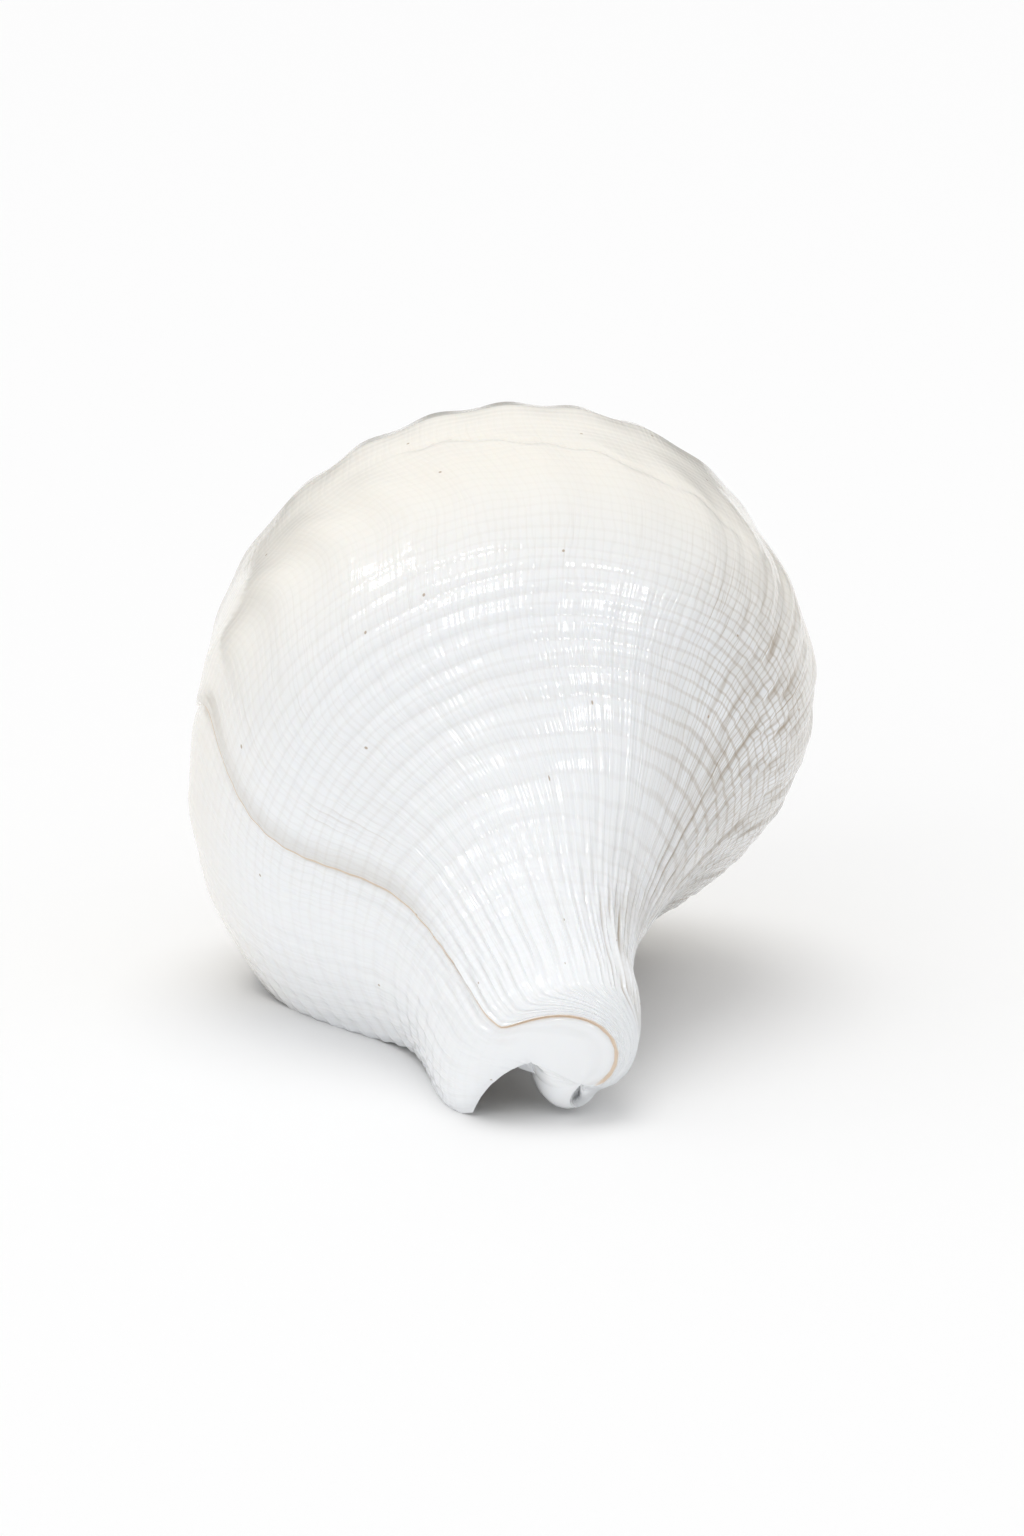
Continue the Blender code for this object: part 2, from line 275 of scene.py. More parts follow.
def length_table():
    """Stations, and the length of the lip's profile down to each of them."""
    stations = np.linspace(0, POLE, LENGTH_STEPS + 1)
    points = profile_point(np.full_like(stations, LIP), stations)
    steps = np.linalg.norm(np.diff(points, axis=0), axis=1)
    return stations, np.concatenate([[0], np.cumsum(steps)])


STATION_TABLE, LENGTH_TABLE = length_table()


def profile_length(station):
    """Millimetres down the lip's profile to a station. A cord keeps its place in this length."""
    return np.interp(station, STATION_TABLE, LENGTH_TABLE)


def outward(turn, station):
    """The direction out of the wall in the plane through the axis."""
    step = 0.02
    ahead = profile_point(turn, np.minimum(station + step, POLE))
    behind = profile_point(turn, np.maximum(station - step, 0))
    along = ahead - behind
    along /= np.linalg.norm(along, axis=-1, keepdims=True)
    return np.stack([along[..., 1], -along[..., 0]], axis=-1)


def growth_path(station, shifts):
    """How far growth lines stray from their turn, and how they hook round the pit."""
    shift = -HOOK * smooth_step(station, *HOOK_STATIONS)
    for above, below, before, after in zip(PATH_STATIONS, PATH_STATIONS[1:], shifts, shifts[1:]):
        shift = shift + math.radians(after - before) * smooth_step(station, above, below)
    return shift


def clear_of_notch(station):
    """The line that stays straight at a station: the lip's, and past the neck the notch's."""
    return LIP - NOTCH * smooth_step(station, *NOTCH_CLEARED)


def follow_growth(line, station):
    """The turn at which a growth line passes a station. The lip, the notch and the start stay straight."""
    end = clear_of_notch(station)
    coming = np.clip((line - START) / FOLLOW_FROM, 0, 1)
    going = np.clip((end - line) / (end - SEAM), 0, 1)
    at_seam = smooth_step(line, *SEAM_SHARE)
    path = growth_path(station, OLDER_SHIFTS) * (1 - at_seam) + growth_path(station, SEAM_SHIFTS) * at_seam
    return line + path * np.minimum(coming, going)


def seam_relief(line, station, look):
    """The former lip: its edge rounds off into a step, which the next layer fills again."""
    on_body = smooth_step(station, 0.3, 2.0) * (1 - 0.45 * smooth_step(station, 8.5, RIM))
    on_body = on_body * (1 - smooth_step(station, 10.6, 11.2))
    rounding = 0.35 * smooth_step(line, SEAM - SEAM_ROUNDING, SEAM) ** 2
    step = np.where(line > SEAM + 1e-6, np.exp((SEAM - line) / SEAM_FADE), rounding)
    return -look.seam_step * step * on_body


def main_relief(turn, station, look):
    """Height of the shoulder knobs and of the belly beside the aperture."""
    scale = WHORL_RATIO ** ((turn - LIP) / FULL_TURN)
    on_shoulder = smooth_step(station, 0.6, 1.9) * (1 - smooth_step(station, 1.9, 3.0))
    knobs = look.knob_height * scale * on_shoulder * np.cos(KNOBS * turn)
    away = (turn - BELLY) / BELLY_SPREAD
    on_belly = smooth_step(station, 3.0, 4.6) * (1 - smooth_step(station, 4.6, 7.0))
    belly = BELLY_HEIGHT * on_belly * np.exp(-away * away)
    return knobs + belly


def ribs(line, station, look):
    """Spiral cords and growth folds, each as a height from -1 to 1, and how strongly each shows."""
    length = profile_length(station)
    wander = 0.5 * np.sin(2.1 * line) + 0.3 * np.sin(5.3 * line + 1.0) + 0.08 * np.sin(17 * line)
    cords = np.cos(FULL_TURN * length / look.cord_spacing + wander)
    on_body = smooth_step(station, 4.2, 5.2) * (1 - 0.75 * smooth_step(station, 6.6, 8.4))
    on_body = on_body * (1 - smooth_step(station, 9.2, 9.9))
    on_spire = smooth_step(station, 0.2, 0.8) * (1 - smooth_step(station, 2.4, SHOULDER))
    scale = WHORL_RATIO ** ((line - LIP) / FULL_TURN)
    middle = 0.45 + 0.55 * smooth_step(line, *RIGHT_SIDE)
    cord_share = on_body * middle * (0.75 + 0.25 * np.sin(3 * line + 1)) + 0.5 * scale * on_spire

    # Waves of unlike lengths, so that no run of folds repeats
    drift = 0.04 * np.sin(length / 9.0) + 0.03 * np.sin(length / 5.0 + 3 * line)
    folds = np.sin(61 * (line + drift)) + 0.9 * np.sin(97 * line + 1.3) + 0.5 * np.sin(37 * line + 0.4)
    lower = 0.3 * smooth_step(station, 4.2, 5.2) + 0.7 * smooth_step(station, 6.2, 8.0)
    edges = 1 - smooth_step(line, *RIGHT_SIDE) + 0.4 * smooth_step(line, SEAM - 0.1, SEAM)
    on_neck = lower * (1 - 0.5 * smooth_step(line, SEAM, SEAM + 0.2))
    at_edges = 0.9 * edges * smooth_step(station, 3.4, 4.4)
    on_roll = smooth_step(station, 8.3, 9.2) * smooth_step(line, *ROLL_SIDE)
    on_foot = smooth_step(station, 9.3, RIM) * (1 - smooth_step(line, *FOOT_SIDE))
    fold_share = np.maximum(on_neck, at_edges) * (1 - 0.55 * on_roll) * (1 - on_foot)
    fold_share = fold_share * (1 - smooth_step(station, 10.8, 11.6))
    return cords, cord_share, folds / 2.4, fold_share


def crease_distance(line):
    """How far a growth line lies past the neck's crease, in widths of the crease."""
    return (line - CREASE) / CREASE_WIDTH


def scar_distance(line, station):
    """How far a station lies below the shoulder's scar line, which wavers."""
    waver = 0.04 * np.sin(17 * line) + 0.03 * np.sin(41 * line)
    return station - SCAR_STATION - SCAR_SLOPE * (line - SCAR_MIDDLE) - waver


def fine_relief(line, station, look):
    """Height of shoulder waves, spiral cords, growth folds, the neck's crease and the scar line."""
    on_waves = smooth_step(station, SHOULDER, 3.7) * (1 - smooth_step(station, 4.0, 5.0))
    waves = look.knob_height * on_waves * (0.7 + 0.3 * np.sin(3 * line + 1)) * np.cos(KNOBS * line)

    cords, cord_share, folds, fold_share = ribs(line, station, look)
    ribbing = look.cord_height * cord_share * cords + look.fold_height * fold_share * folds

    at_crease = smooth_step(station, 6.9, 8.2) * (1 - smooth_step(station, 9.6, 10.4))
    away = crease_distance(line)
    crease = look.crease_depth * at_crease * (0.7 * np.exp(-((away - 1.7) ** 2)) - np.exp(-away * away))

    at_scar = smooth_step(station, SHOULDER, SHOULDER + 0.15) * np.exp(-(((line - SCAR_MIDDLE) / 0.9) ** 2))
    scar = -look.scar_depth * at_scar * np.exp(-((scar_distance(line, station) / SCAR_WIDTH) ** 2))

    total = waves + ribbing + crease + scar + seam_relief(line, station, look)
    return total * smooth_step(line, START, START + 0.3)


def seam_distance(line, station):
    """Millimetres across the surface to the former lip's edge, below 0 on its older side."""
    step = 0.01
    radius = profile_point(line, station)[..., 0]
    path = growth_path(station, SEAM_SHIFTS)
    above, below = station - step, station + step
    turning = (growth_path(below, SEAM_SHIFTS) - growth_path(above, SEAM_SHIFTS)) / (2 * step)
    descent = np.maximum((profile_length(below) - profile_length(above)) / (2 * step), 1.0)
    end = clear_of_notch(station)
    spread = np.where(line > SEAM, 1 - path / (end - SEAM), 1.0)
    across = descent / np.hypot(descent, radius * turning)
    return (line - SEAM) * radius * spread * across


def marks(line, station):
    """Millimetres from the former lip's edge (before it below 0), from the crease and from the scar line.

    Where a mark has worn away the distance is made larger, so that it thins out and ends.
    """
    seam = seam_distance(line, station) - 0.05
    worn = 1 - smooth_step(station, 3.4, 4.2) + 0.5 * smooth_step(station, 10.6, 11.1)
    edge = np.abs(seam) + worn
    # The hollow before the former lip's edge, where painted shade is laid
    hollow = np.minimum(seam, 0) - 4 * smooth_step(station, 6.4, 8.0) - 9 * (seam > 0)
    radius = np.maximum(profile_point(line, station)[..., 0], 4.0)
    off_crease = 1 - smooth_step(station, 7.0, 8.4) + smooth_step(station, 9.9, 10.4)
    crease = np.abs(line - CREASE) * radius + 2 * off_crease
    down = profile_length(SCAR_STATION + 0.5) - profile_length(SCAR_STATION - 0.5)
    off_scar = np.abs(line - SCAR_MIDDLE) / 1.3 + 0.5 * np.maximum(np.sin(9 * line) * np.sin(4 * line + 1), 0)
    scar = np.abs(scar_distance(line, station)) * down + off_scar
    return np.stack([edge, hollow, np.minimum(crease, scar)], axis=-1)


def wear_and_shade(line, station, look):
    """Stain and painted shade, how deep in a groove a place lies, and how much of its fine relief shows."""
    right = 1 - smooth_step(line, *RIGHT_SIDE)
    neck = np.exp(-(((line - NECK_STAIN) / NECK_STAIN_SPREAD) ** 2)) * smooth_step(station, 6.4, 7.6)
    before_tip = 1 - smooth_step(station, *CLEAN_TIP)
    # The right side's darkening is partly real stain and partly painted shade for the side turned from the
    # light
    stain_and_shade = np.maximum(right * smooth_step(station, 3.6, 4.8), neck) * before_tip
    cords, cord_share, folds, fold_share = ribs(line, station, look)
    groove = np.maximum(-folds * fold_share, -0.45 * cords * cord_share)
    shows = smooth_step(profile_point(line, station)[..., 0], 5.0, 24.0) * before_tip
    shows = shows * (0.35 + 0.65 * smooth_step(station, 4.0, 5.2))
    shows = shows * (1 - 0.5 * smooth_step(line, SEAM, SEAM + 0.3))
    return np.stack([stain_and_shade, np.clip(groove, 0, 1), shows], axis=-1)


def outer_point(turn, station, look, depth=0.0):
    """Radius and distance of the outer face, or of a face some depth below it."""
    lift = main_relief(turn, station, look) - depth
    return profile_point(turn, station) + outward(turn, station) * np.asarray(lift)[..., None]


def detailed_point(turn, line, station, look):
    """A point of the outer face with its fine relief, on a growth line that passes at a turn."""
    return outer_point(turn, station, look, -fine_relief(line, station, look))


def place(point, turn, station):
    """A point in space. Growth lines bow back below the shoulder, and sweep back at the canal."""
    first, middle, last = BOW_STATIONS
    bow = BOW * smooth_step(station, first, middle) * (1 - smooth_step(station, middle, last))
    angle = turn - bow - SWEEP * smooth_step(station, *SWEEP_STATIONS)
    radius, distance = point[..., 0], point[..., 1]
    return np.stack([radius * np.cos(angle), radius * np.sin(angle), distance], axis=-1)


def notch_station(turn):
    """The last station of the outer wall: past the notch's start it draws back from the rim."""
    return RIM - (RIM - NOTCH_CORNER) * np.clip((turn - LIP + NOTCH) / NOTCH, 0, 1)


def wall_station(turn, station):
    """Squeezes the last stations of the wall so that they end on the notch."""
    squeeze = (notch_station(turn) - NOTCH_FROM) / (RIM - NOTCH_FROM)
    return np.where(station > NOTCH_FROM, NOTCH_FROM + (station - NOTCH_FROM) * squeeze, station)


def wall_depth(station, look):
    """Thickness of the wall: it thins towards the canal's end."""
    thinning = (look.wall - look.wall_at_canal) * smooth_step(station, 7.5, RIM)
    return (look.wall - thinning) * smooth_step(station, 0, 1.6)


def over_notch(back):
    """Whether an angle back from the lip lies over the notch, where the canal is open."""
    return back <= NOTCH + 1e-9


def cavity_end(back, look):
    """Where the canal closes inside, at an angle back from the lip."""
    columella = outer_point(START - back, np.interp(back, CLOSING_BACKS, CLOSING_ON_COLUMELLA), look)
    notch = np.minimum(back, NOTCH)
    inside = outer_point(LIP - notch, notch_station(LIP - notch), look, look.wall_at_canal)
    columella_rim = outer_point(np.full_like(back, START), np.full_like(back, RIM), look)
    open_end = between(columella_rim, inside, smooth_step(notch, 0, NOTCH))
    return between(open_end, columella, smooth_step(back, NOTCH, NOTCH + 0.5))


def closing_wall_station(back, station):
    """The station of the cavity's outer side: it stops short of the rim once the canal is closed."""
    end = np.interp(back, CLOSING_BACKS, CLOSING_ON_WALL)
    squeeze = (end - SHOULDER) / (RIM - SHOULDER)
    closed = np.where(station > SHOULDER, SHOULDER + (station - SHOULDER) * squeeze, station)
    return np.where(over_notch(back), wall_station(LIP - back, station), closed)


def cavity_top(back):
    """Station on the earlier whorl where the cavity starts, under the suture."""
    return SHOULDER + 0.16 * smooth_step(back, 0, 0.3)


def fold_height(point, back):
    """The columella's folds: low spiral ridges that rise into the aperture."""
    scale = WHORL_RATIO ** (-back / FULL_TURN)
    height = 0
    for distance in FOLDS:
        away = (point[..., 1] - distance * scale) / (FOLD_WIDTH * np.sqrt(scale))
        height = height + FOLD_HEIGHT * np.exp(-away * away)
    return height * smooth_step(back, 0.0, 0.5)


def outer_surface(line, station, look):
    """The outside: a place in space and its coordinates on the surface."""
    turn = follow_growth(line, station)
    used = wall_station(turn, station)
    return place(detailed_point(turn, line, used, look), turn, used), line, used


def tip_surface(line, station, look):
    """The canal's end face. Past the wall's edge, which curves in to the pit, it is the columella's end."""
    turn = follow_growth(line, station)
    start = np.full_like(turn, START)
    edge = LIP - NOTCH + (NOTCH - EDGE_STEP) * smooth_step(station, RIM, RIM + EDGE_RUN)
    share = smooth_step(turn, edge, edge + EDGE_STEP)
    notch_side = detailed_point(np.minimum(turn, LIP - NOTCH), line, station, look)
    point = between(notch_side, outer_point(start, station, look), share)
    to_pit = smooth_step(station, RIM, PIT_STATION)[..., None]
    return place(point, turn, station) + np.multiply(PIT_OFFSET, to_pit), line, station


def wall_side(back, station, look):
    """The cavity's outer side, which is the inside of the wall."""
    used = closing_wall_station(back, station)
    point = outer_point(LIP - back, used, look, wall_depth(station, look))
    top = outer_point(START - back, cavity_top(back), look)
    point = between(top, point, smooth_step(station, 0, 0.9))
    bend = smooth_step(station, 9.0, RIM) * ~over_notch(back)
    point = between(point, cavity_end(back, look), bend)
    return place(point, LIP - back, used), LIP - back, used


def columella_side(back, station, look):
    """The cavity's inner side: the earlier whorl, then the columella with its folds."""
    top = cavity_top(back)
    end = np.where(over_notch(back), RIM, np.interp(back, CLOSING_BACKS, CLOSING_ON_COLUMELLA))
    used = top + (station - SHOULDER) * (end - top) / (RIM - SHOULDER)
    point = outer_point(START - back, used, look)
    fold = fold_height(point, back) * (1 - smooth_step(station, 8.5, 9.8))
    point = point + outward(START - back, used) * fold[..., None]
    near_end = smooth_step(station, 8.5, RIM)
    point = point + (cavity_end(back, look) - outer_point(START - back, end, look)) * near_end[..., None]
    follows_wall = smooth_step(back, 0, NOTCH)
    own = SHOULDER + (station - SHOULDER) * (end - SHOULDER) / (RIM - SHOULDER)
    swept = own * (1 - follows_wall) + closing_wall_station(back, station) * follows_wall
    return place(point, START - back, swept), START - back, used


# The surface as a mesh


def grid(surface, turns, stations, look):
    """Points of a grid, one row for each turn, with the line, the profile length, marks and wear of each."""
    turn, station = np.meshgrid(turns, stations, indexing="ij")
    points, line, station = surface(turn, station, look)
    place_on = np.stack([line, profile_length(station)], axis=-1)
    return np.concatenate([points, place_on, marks(line, station), wear_and_shade(line, station, look)], axis=-1)


def rim_round(outer_edge, inner_edge):
    """Rows of points that carry the wall round its edge, in half circles."""
    across = (inner_edge - outer_edge) / 2
    along = np.gradient((outer_edge + inner_edge)[:, :3], axis=0)
    forward = np.cross(along, across[:, :3])
    forward /= np.maximum(np.linalg.norm(forward, axis=-1, keepdims=True), 1e-9)
    reach = np.linalg.norm(across[:, :3], axis=-1, keepdims=True)
    rows = [outer_edge]
    for step in range(1, RIM_ROWS):
        angle = math.pi * step / RIM_ROWS
        row = outer_edge + across * (1 - math.cos(angle))
        row[:, :3] += forward * reach * math.sin(angle)
        rows.append(row)
    rows.append(inner_edge)
    return np.stack(rows)


def even_stations(first, last, count):
    """Stations at equal lengths along the lip's profile."""
    lengths = np.linspace(profile_length(first), profile_length(last), count + 1)
    stations = np.interp(lengths, LENGTH_TABLE, STATION_TABLE)
    stations[0], stations[-1] = first, last
    return stations


def shell_turns():
    """The turns of the last whorl's columns: close in front, and closest from the seam to the notch."""
    coarse = np.arange(START, FINE_FROM, COARSE_STEP)
    fine = np.arange(FINE_FROM, LIP, FINE_STEP)
    fine = fine[(fine < SEAM - SEAM_ROUNDING) | (fine > LIP - NOTCH)]
    edge = np.linspace(SEAM - SEAM_ROUNDING, SEAM, 7)
    after = np.linspace(SEAM + math.radians(0.3), LIP - NOTCH, SEAM_COLUMNS)
    return np.unique(np.concatenate([coarse, fine, edge, after, [LIP]]))


def apex_cap(turns, stations, look):
    """The pointed first whorl that closes the top of the spire."""
    first = turns - SPIRE_WHORLS * FULL_TURN
    inner_edge = grid(outer_surface, first, stations[:1], look)[:, 0]
    end_edge = grid(outer_surface, first[:1], stations, look)[0]
    edge = np.concatenate([inner_edge, end_edge[::-1]])
    middle = edge.mean(axis=0)
    rings = []
    for share in (1.0, 0.8, 0.55, 0.3, 0.0):
        ring = middle + (edge - middle) * share
        ring[:, 2] = edge[:, 2] * share - APEX_RISE * (1 - share * share)
        rings.append(ring)
    return np.stack(rings)


def shell_patches(look):
    """The grids that make up the shell's skin, each with its material's number: 0 outside, 1 lining."""
    turns = shell_turns()
    spire_stations = np.linspace(0, SHOULDER, SPIRE_ROWS + 1)
    body_stations = even_stations(SHOULDER, RIM, BODY_ROWS)
    stations = np.concatenate([spire_stations, body_stations[1:]])
    tip_stations = RIM + (POLE - RIM) * np.linspace(0, 1, TIP_ROWS + 1)
    notch_backs = LIP - turns[over_notch(LIP - turns)][::-1]
    deep_shares = np.linspace(0, 1, CAVITY_COLUMNS + 1)[1:] ** CAVITY_SPREAD
    deep_backs = NOTCH + (CAVITY_TURN - NOTCH) * deep_shares
    backs = np.concatenate([notch_backs, deep_backs])

    outside = grid(outer_surface, turns, stations, look)
    tip = grid(tip_surface, turns, tip_stations, look)
    skins = [(outside, 0), (tip, 0)]
    for whorl in range(1, SPIRE_WHORLS + 1):
        skins.append((grid(outer_surface, turns - whorl * FULL_TURN, spire_stations, look), 0))
    wall = grid(wall_side, backs, stations, look)
    columella = grid(columella_side, backs, body_stations, look)
    skins += [(wall[:, ::-1], 1), (columella, 1)]

    count = len(notch_backs)
    outer_edge = np.concatenate([outside[-1], outside[::-1][1:count, -1], tip[-count:, 0]])
    inner_edge = np.concatenate([wall[0], wall[1:count, -1], columella[:count, -1][::-1]])
    skins.append((rim_round(outer_edge, inner_edge)[::-1], 0))

    deep_end = np.concatenate([wall[-1], columella[-1][::-1]])
    middle = np.broadcast_to(deep_end.mean(axis=0), deep_end.shape)
    skins.append((np.stack([middle, deep_end]), 1))
    skins.append((apex_cap(turns, spire_stations, look), 0))
    return skins


def lay_down():
    """Turns the shell's own frame, axis along +Z, into the pose it lies in."""
    rolled = Matrix.Rotation(math.pi / 2, 4, "X") @ Matrix.Rotation(ROLL_ANGLE, 4, "Z")
    return Matrix.Rotation(YAW, 4, "Z") @ Matrix.Rotation(DIP, 4, "X") @ rolled


def stand(points):
    """Lays the points down, centres them over the solid and wears them flat where they meet the ground."""
    turned = points @ np.array(lay_down().to_3x3()).T
    low, high = turned.min(axis=0), turned.max(axis=0)
    solid_middle = (Vector(SOLID_BOX[0]) + Vector(SOLID_BOX[1])) / 2 / MM
    shift = np.array([solid_middle.x, solid_middle.y, 0]) - (low + high) / 2
    shift[2] = -low[2] - WORN_FLAT
    turned = turned + shift
    turned[:, 2] = np.maximum(turned[:, 2], 0)
    return turned


def shell_object(look):
    """One smooth mesh from all the grids, with its growth lines as a UV map, its marks, and its wear and
    painted shade.
    """
    values, faces, slots = [], [], []
    first = 0
    for skin, slot in shell_patches(look):
        rows, columns = skin.shape[:2]
        corner = first + np.arange(rows * columns).reshape(rows, columns)[:-1, :-1].ravel()
        faces.append(np.stack([corner, corner + columns, corner + columns + 1, corner + 1], axis=1))
        slots.append(np.full(len(corner), slot))
        values.append(skin.reshape(rows * columns, -1))
        first += rows * columns
    values = np.concatenate(values)
    points = stand(values[:, :3]) * MM
    faces = np.concatenate(faces)
    data = bpy.data.meshes.new("conch")
    data.from_pydata(points.tolist(), [], faces.tolist())
    growth = data.uv_layers.new(name="growth")
    growth.data.foreach_set("uv", values[:, 3:5][faces.ravel()].ravel())
    for name, start in (("marks", 5), ("wear_and_shade", 8)):
        attribute = data.attributes.new(name, "FLOAT_VECTOR", "POINT")
        attribute.data.foreach_set("vector", values[:, start:start + 3].ravel())
    data.polygons.foreach_set("material_index", np.concatenate(slots))

    mesh = bmesh.new()
    mesh.from_mesh(data)
    bmesh.ops.remove_doubles(mesh, verts=mesh.verts[:], dist=WELD * MM)
    bmesh.ops.triangulate(mesh, faces=mesh.faces[:])
    bmesh.ops.recalc_face_normals(mesh, faces=mesh.faces[:])
    mesh.to_mesh(data)
    mesh.free()
    data.shade_smooth()
    data.set_sharp_from_angle(angle=SHARP)
    shell = bpy.data.objects.new("conch", data)
    bpy.context.collection.objects.link(shell)
    return shell


# Materials


def linear_colour(hex_colour):
    """A colour given as sRGB hex, such as "f4f1ea", as linear RGB with full alpha."""
    values = []
    for start in (0, 2, 4):
        value = int(hex_colour[start:start + 2], 16) / 255
        values.append(value / 12.92 if value <= 0.04045 else ((value + 0.055) / 1.055) ** 2.4)
    return (*values, 1.0)


def add_node(tree, kind, links=(), **settings):
    """Adds a node with its settings. links gives sockets their sources or their values."""
    node = tree.nodes.new("ShaderNode" + kind)
    for name, value in settings.items():
        setattr(node, name, value)
    for socket, source in dict(links).items():
        if isinstance(source, bpy.types.NodeSocket):
            tree.links.new(source, node.inputs[socket])
        else:
            node.inputs[socket].default_value = source
    return node


def streaks(tree, line, length, line_scale, length_scale):
    """Noise drawn out along the growth lines or along the cords: features to a radian and to a mm."""
    across = add_node(tree, "Math", {0: line, 1: line_scale}, operation="MULTIPLY")
    down = add_node(tree, "Math", {0: length, 1: length_scale}, operation="MULTIPLY")
    vector = add_node(tree, "CombineXYZ", {0: across.outputs[0], 1: down.outputs[0]})
    noise = add_node(tree, "TexNoise", {"Vector": vector.outputs[0], "Scale": 1.0}, noise_dimensions="2D")
    return noise.outputs["Fac"]


def ridges(tree, across, along, spacing, reach, distortion):
    """Even ridges at a spacing, in the unit of across, which waver along their length over a reach."""
    x = add_node(tree, "Math", {0: across, 1: WAVE_PERIOD / spacing}, operation="MULTIPLY")
    y = add_node(tree, "Math", {0: along, 1: 1 / reach}, operation="MULTIPLY")
    vector = add_node(tree, "CombineXYZ", {0: x.outputs[0], 1: y.outputs[0]})
    wave = add_node(
        tree, "TexWave", {"Vector": vector.outputs[0], "Scale": 1.0, "Distortion": distortion, "Detail": 2.0}
    )
    return wave.outputs["Fac"]


def lay_over(tree, under, colour, value, start, end, share=1.0):
    """Lays a colour over another: none of it where a value is at start, and a share of it at end."""
    amount = add_node(
        tree,
        "MapRange",
        {"Value": value, "From Min": start, "From Max": end, "To Max": share},
        interpolation_type="SMOOTHSTEP",
    )
    return add_node(tree, "Mix", {0: amount.outputs[0], 6: under, 7: colour}, data_type="RGBA").outputs[2]


def polished_shell(look):
    """Aragonite, polished: white with a clear gloss that breaks up on cords and growth lines."""
    material = bpy.data.materials.new("polished aragonite")
    material.use_nodes = True
    tree = material.node_tree
    shader = tree.nodes["Principled BSDF"]
    shader.inputs["IOR"].default_value = ARAGONITE_IOR
    shader.inputs["Roughness"].default_value = 0.14
    shader.inputs["Subsurface Weight"].default_value = 0.12
    shader.inputs["Subsurface Radius"].default_value = (1.0, 0.8, 0.6)
    shader.inputs["Subsurface Scale"].default_value = 2 * MM

    surface = add_node(tree, "UVMap", uv_map="growth")
    parts = add_node(tree, "SeparateXYZ", {0: surface.outputs[0]})
    line, length = parts.outputs[0], parts.outputs[1]
    mark_data = add_node(tree, "Attribute", attribute_name="marks")
    mark = add_node(tree, "SeparateXYZ", {0: mark_data.outputs["Vector"]})
    wear_and_shade_data = add_node(tree, "Attribute", attribute_name="wear_and_shade")
    worn = add_node(tree, "SeparateXYZ", {0: wear_and_shade_data.outputs["Vector"]})
    stain_and_shade, groove, shows = worn.outputs[0], worn.outputs[1], worn.outputs[2]

    # Growth lines, spiral threads and hairlines among them. The finest real ones are closer together, and
    # wouldn't show. Growth lines are stronger in some patches than in others.
    growth = ridges(tree, line, length, GROWTH_LINE / PATTERN_RADIUS, reach=14.0, distortion=9.0)
    threads = ridges(tree, length, line, THREAD, reach=0.5, distortion=4.0)
    hairs = streaks(tree, line, length, PATTERN_RADIUS / HAIRLINE, 0.05)
    patchy = streaks(tree, line, length, PATTERN_RADIUS / PATCH, 1 / 7.0)
    growth = add_node(tree, "Math", {0: growth, 1: patchy}, operation="MULTIPLY").outputs[0]
    lattice = add_node(tree, "Math", {0: threads, 1: 0.6, 2: growth}, operation="MULTIPLY_ADD")
    height = add_node(tree, "Math", {0: hairs, 1: 0.7, 2: lattice.outputs[0]}, operation="MULTIPLY_ADD")
    reach = add_node(tree, "Math", {0: shows, 1: look.growth_height * MM}, operation="MULTIPLY")
    bump = add_node(
        tree, "Bump", {"Height": height.outputs[0], "Strength": 1.0, "Distance": reach.outputs[0]}
    )
    tree.links.new(bump.outputs[0], shader.inputs["Normal"])

    # Ivory on the shoulder passes to a cooler white over the body
    colour = lay_over(tree, look.ivory, look.white, length, profile_length(3.6), profile_length(5.4))

    # Dirt has stayed in the grooves. A broad stain and more of that dirt darken the right side: partly real
    # stain, partly painted shade on the side turned away from the light
    broad = add_node(tree, "Math", {0: stain_and_shade, 1: 0.3}, operation="MULTIPLY")
    colour = lay_over(tree, colour, look.stain_and_shade, patchy, 0.25, 0.7, broad.outputs[0])
    deep = add_node(tree, "Math", {0: stain_and_shade, 1: 0.65, 2: 0.12}, operation="MULTIPLY_ADD")
    colour = lay_over(tree, colour, look.tan, groove, 0.1, 0.9, deep.outputs[0])
    faint = add_node(tree, "Math", {0: deep.outputs[0], 1: shows}, operation="MULTIPLY")
    thin = add_node(tree, "Math", {0: faint.outputs[0], 1: 0.5}, operation="MULTIPLY")
    colour = lay_over(tree, colour, look.tan, growth, 0.14, 0.0, thin.outputs[0])
    colour = lay_over(tree, colour, look.tan, threads, 0.3, 0.0, thin.outputs[0])
    colour = lay_over(tree, colour, look.tan, hairs, 0.34, 0.22, faint.outputs[0])

    # Marks: a thin line on the former lip's edge and painted shade in the hollow before it, the crease beside
    # the canal's roll, the scar on the shoulder, and pinholes
    colour = lay_over(tree, colour, look.stain_and_shade, mark.outputs[1], -4.0, 0.0, 0.35)
    colour = lay_over(tree, colour, look.ochre, mark.outputs[0], 0.32, 0.05, 0.6)
    colour = lay_over(tree, colour, look.scar, mark.outputs[2], 0.45, 0.0, 0.55)
    cells = add_node(tree, "Math", {0: line, 1: PATTERN_RADIUS}, operation="MULTIPLY")
    spots = add_node(tree, "CombineXYZ", {0: cells.outputs[0], 1: length})
    pinholes = add_node(
        tree, "TexVoronoi", {"Vector": spots.outputs[0], "Scale": 1 / PINHOLE_CELL}, voronoi_dimensions="2D"
    )
    colour = lay_over(tree, colour, look.scar, pinholes.outputs["Distance"], 0.013, 0.006, 0.7)
    tree.links.new(colour, shader.inputs["Base Color"])
    return material


